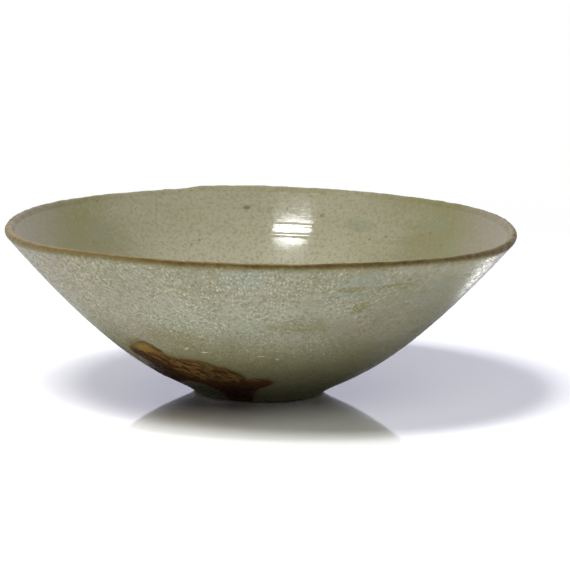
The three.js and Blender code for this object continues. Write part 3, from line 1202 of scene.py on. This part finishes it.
# %% [markdown]
# The glaze in the recess
#
# Under the foot the glaze is thick and no hand wears it, so it is smooth and dark, with a few large
# pinholes. It could share the outer finish, but that one is laid out by height and bearing for the wall.
# A short finish of its own is easier to follow.

# %% Base celadon
def base_finish():
    finish, place = new_finish("base_celadon")
    sheet, _, _ = unrolled(finish, place)
    colour = finish.tint(finish.noise(place, 9, 3).between(0.35, 0.65, 0.2, 0.8), olive, pooled_glaze_and_shade)
    colour = finish.tint(specks(finish, sheet, 12, 4) * 0.8, colour, pinhole)
    return finish.principled({
        "Base Color": colour,
        "Roughness": 0.2,
        "Normal": skin(finish, place, 1, 0.5),
    })


base_celadon = base_finish()

# %% [markdown]
# Scorched clay
#
# The patch is not one brown. Its upper left end is ochre and soft-edged. Along its upper side olive-brown
# islands stand between dark strokes, which droop to the right as the folds do, and the lower part is a
# smooth, nearly black red-brown. The colours could follow the folds of the mesh alone, but the border
# between light and dark doesn't: it falls from left to right. So the colour goes by the height above that
# border, and the strokes are noise drawn out on the unrolled wall.

# %% Burnt crust
char = paint(57, 32, 15)
dark_stroke = paint(68, 38, 8)
ochre = paint(128, 103, 42)
island_brown = paint(112, 85, 40)
khaki = paint(102, 84, 44)
strip_grey = paint(116, 106, 72)
edge_brown = paint(92, 74, 36)
ochre_end = (ochre, 0.95, -135.5, 53.2, 7.5, 2.6, -4)
border_left, border_right = -141, -119
border_high, border_low = 51, 38.5
stroke_long, stroke_wide, stroke_tilt = 3.4, 0.8, -28


def crust_finish():
    finish, place = new_finish("burnt_crust")
    sheet, bearing, radius = unrolled(finish, place)
    drawn_out = on_sheet(finish, sheet, -115, 45, stroke_long, stroke_wide, stroke_tilt)
    sockets = {"Vector": drawn_out, "Scale": 0.8, "Detail": 3.0, "Roughness": 0.6}
    strokes = finish.node("TexNoise", None, sockets)
    ragged = (finish.noise(place, 1.4, 3) - 0.5) * 0.9
    above = radius - bearing.between(border_left, border_right, border_high, border_low)

    islands = finish.tint(bearing.between(-145, -130), strip_grey, island_brown)
    islands = finish.tint(bearing.between(-118, -110), islands, khaki)
    colour = finish.tint((strokes - finish.mark("fold") * 0.08).between(0.43, 0.49), islands, dark_stroke)
    colour = lay_spots(finish, sheet, ragged, colour, [ochre_end])
    colour = finish.tint((above + (strokes - 0.5) * 9).between(-0.8, 1.6, 1, 0), colour, dark_stroke)
    colour = finish.tint((above + (strokes - 0.5) * 5).between(-5.0, -1.0, 1, 0), colour, char)
    upper_edge = (finish.mark("patch") + ragged * 0.5).between(0.2, 0.9, 0.6, 0) * above.between(-2, 1)
    return finish.principled({
        "Base Color": finish.tint(upper_edge, colour, edge_brown),
        "Roughness": above.between(-6, 0, 0.34, 0.55),
        "Specular IOR Level": 0.2,
        "Normal": skin(finish, place, 1, 1),
    })


burnt_crust = crust_finish()

# %% [markdown]
# Bare clay
#
# Only the foot ring shows the body itself: buff grey stoneware, dry, with dark grains in it. A flat grey
# would do for so narrow a ring, but it is what is seen first when the bowl is turned over. Two textures
# are enough: noise between a dark and a light buff, and the same specks as in the glaze for the grains.

# %% Stoneware
clay_dark = paint(112, 98, 80)
clay_light = paint(142, 128, 108)
clay_grain = paint(70, 54, 40)


def clay_finish():
    finish, place = new_finish("stoneware_clay")
    sheet, _, _ = unrolled(finish, place)
    colour = finish.tint(finish.noise(place, 3, 4), clay_dark, clay_light)
    colour = finish.tint(specks(finish, sheet, 4, 1.2), colour, clay_grain)
    return finish.principled({
        "Base Color": colour,
        "Roughness": 0.85,
        "Normal": skin(finish, place, 1, 2),
    })


stoneware_clay = clay_finish()

# %% [markdown]
# Dressing the model
#
# The imported model could keep its own pieces and only take new materials, but its faces are coarse. So
# each new piece stands for one piece of the model: it gets its finish, rides on the bowl's one body, and
# the piece that it replaces is hidden, and a printed line names it.

# %% Put the finishes on and hang each piece on the model
dressing = [
    (clay_body, stoneware_clay, "clay_body", "stoneware_clay"),
    (inner_coat, inner_celadon, "inner_glaze", "inner_celadon"),
    (outer_coat, outer_celadon, "outer_glaze", "outer_celadon"),
    (lip_coat, brown_lip, "lip_glaze", "brown_lip"),
    (base_coat, base_celadon, "base_glaze", "base_celadon"),
    (crust, burnt_crust, "kiln_scar", "burnt_crust"),
]
for piece, finish, node, slot in dressing:
    piece.data.materials.clear()
    piece.data.materials.append(finish)
    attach(piece, "root")
    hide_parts(node)
    print(piece.name, "stands for", node, "in", finish.name)

# %% [markdown]
# The camera
#
# A long lens a little over a metre away looks down on the bowl at some ten degrees. Its focal length is
# given in pixels of the square picture, and it leans by less than a degree. Blender's own tracking
# constraints keep a camera level, so its matrix is made here from the place, the target and the lean.

# %% Camera
def aimed(location, target, lean=0.0):
    """A matrix at location that looks at target along its -Z, with its X nearly the world's own."""
    back = (Vector(location) - Vector(target)).normalized()
    across = Vector((1, 0, 0))
    right = (across - across.dot(back) * back).normalized()
    turn = Matrix((right, back.cross(right), back)).transposed().to_4x4()
    return Matrix.Translation(location) @ turn @ Matrix.Rotation(lean, 4, "Z")


photo_side = 570
focal_pixels = 3621.5
camera_place = (0, -1.19, 0.24228)
camera_target = (0.00824, 0, 0.03608)
camera_lean = radians(0.729)

camera_data = bpy.data.cameras.new("camera")
camera_data.sensor_width = 36
camera_data.lens = focal_pixels * camera_data.sensor_width / photo_side
camera = bpy.data.objects.new("camera", camera_data)
bpy.context.scene.collection.objects.link(camera)
camera.matrix_world = aimed(camera_place, camera_target, camera_lean)
bpy.context.scene.camera = camera
print("lens", round(camera_data.lens, 1), "mm")

# %% [markdown]
# Lamps
#
# A large softbox hangs overhead, to the left and in front. It gives most of the light and the soft shadow.
# A weaker one in front lights the wall that faces the camera. Both are kept out of reflections, because
# lamps of that size would whiten half of the inside. A long narrow lamp overhead gives little light, but
# makes the one sharp highlight. That highlight could be painted, but only a reflection moves with the
# eye. It has round ends and leans, so the lamp is an ellipse and leans as well.

# %% Lamps
def softbox(name, location, target, wide, tall, watts):
    lamp = bpy.data.lights.new(name, "AREA")
    lamp.shape = "RECTANGLE"
    lamp.size, lamp.size_y = wide, tall
    lamp.energy = watts
    holder = bpy.data.objects.new(name, lamp)
    bpy.context.scene.collection.objects.link(holder)
    holder.matrix_world = aimed(location, target)
    print(name, watts, "W")
    return holder


bowl_middle = (0, 0, 0.05)
soft_key = softbox("soft_key", (-0.5, -0.36, 1.5), bowl_middle, 0.6, 0.6, watts=17)
front_card = softbox("front_card", (0.48, -1.03, 1.26), bowl_middle, 1.0, 0.8, watts=3)
for lamp in (soft_key, front_card):
    lamp.visible_glossy = False

strip_place, strip_target = (-0.255, -0.266, 1.586), (0.01, 0.06, 0.05)
strip_lean = radians(-14)
strip = softbox("strip", strip_place, strip_target, 0.36, 0.064, watts=2.2)
strip.data.shape = "ELLIPSE"
strip.matrix_world = aimed(strip_place, strip_target, strip_lean)

# %% [markdown]
# The floor
#
# The bowl stands on a pale, polished table. Nearly all that the camera sees in the shadow is the white
# room mirrored at a low angle, and where the table mirrors the bowl it goes dark. For the camera the
# table's own colour is brighter than a real one, so that it is white wherever the lamp reaches it. For
# the bowl it is a real pale colour, and outside the shadow the table glows, as cards laid round the bowl
# would, so that the outside of the bowl isn't darker than its own colour. To the right, behind the bowl,
# is a spot that is bright to mirrors alone. It stands for the gleam of a lamp on the polish, and gives
# the right side of the bowl its glare. A real lamp in that place would light the table as well.

# %% Floor
matt_white = (0.86, 0.86, 0.86, 1)
camera_white = (2.2, 2.2, 2.2, 1)
table_glow = 1.3
shadow_middle, shadow_edge = (0.017, 0.013, 0.0), (0.075, 0.095)
shine_colour, shine_roughness, shine_gain = (0.8, 0.8, 0.97, 1), 0.05, 1.45
glare_place, glare_edge, glare_shine = (0.108, 0.062, 0.0), (0.008, 0.024), 5.5
table_end = (0.25, 0.5)  # where the table fades into the white room


def is_ray(finish, kind):
    return finish.node("LightPath", output=f"Is {kind} Ray")


def emission(finish, strength):
    return finish.node("Emission", None, {"Strength": strength})


def floor_finish():
    finish, place = new_finish("studio_floor")
    to_camera, to_mirror = is_ray(finish, "Camera"), is_ray(finish, "Glossy")
    matt = finish.node("BsdfDiffuse", None, {"Color": matt_white})
    bright = finish.node("BsdfDiffuse", None, {"Color": camera_white})
    glow = finish.node("AddShader", None, {0: matt, 1: emission(finish, table_glow)})
    glowing = finish.distance(place, shadow_middle).between(*shadow_edge) * (1 - to_mirror)
    table = finish.blend(to_camera, finish.blend(glowing, matt, glow), bright)

    shine = finish.node("BsdfGlossy", None, {"Color": shine_colour, "Roughness": shine_roughness})
    table = finish.blend(finish.node("Fresnel", None, {"IOR": 1.5}) * shine_gain, table, shine)
    near_glare = finish.distance(place, glare_place).between(*glare_edge, 1, 0)
    table = finish.blend(near_glare * to_mirror, table, emission(finish, glare_shine))

    far = finish.distance(place).between(*table_end)
    table = finish.blend(far * (to_camera + to_mirror), table, emission(finish, 1.0))
    below = finish.node("NewGeometry", output="Backfacing")
    holder = finish.surface(finish.blend(below, table, finish.node("BsdfTransparent")))
    holder.cycles.emission_sampling = "NONE"
    return holder


floor_half = 4.0
floor_mesh = bpy.data.meshes.new("floor")
floor_corners = [(x * floor_half, y * floor_half, 0) for x, y in ((-1, -1), (1, -1), (1, 1), (-1, 1))]
floor_mesh.from_pydata(floor_corners, [], [(0, 1, 2, 3)])
floor_mesh.materials.append(floor_finish())
floor = bpy.data.objects.new("floor", floor_mesh)
bpy.context.scene.collection.objects.link(floor)

# %% [markdown]
# The room
#
# The room is white to the camera and in mirrors, and gives only a little cool light of its own. A world
# that is white to every ray would be simpler, but it would light the bowl from all sides and take away
# its shadow.

# %% World
air_colour, air_strength = (0.85, 0.9, 1, 1), 0.04
room_white = (1, 1, 1, 1)

world = bpy.data.worlds.new("studio")
bpy.context.scene.world = world
air = Finish(world)
ambient = air.node("Background", None, {"Color": air_colour, "Strength": air_strength})
backdrop = air.node("Background", None, {"Color": room_white, "Strength": 1.0})
seen = is_ray(air, "Camera") + is_ray(air, "Glossy") + is_ray(air, "Transmission")
air.surface(air.blend(seen, ambient, backdrop), "OutputWorld")

bpy.context.scene.view_settings.view_transform = "Standard"
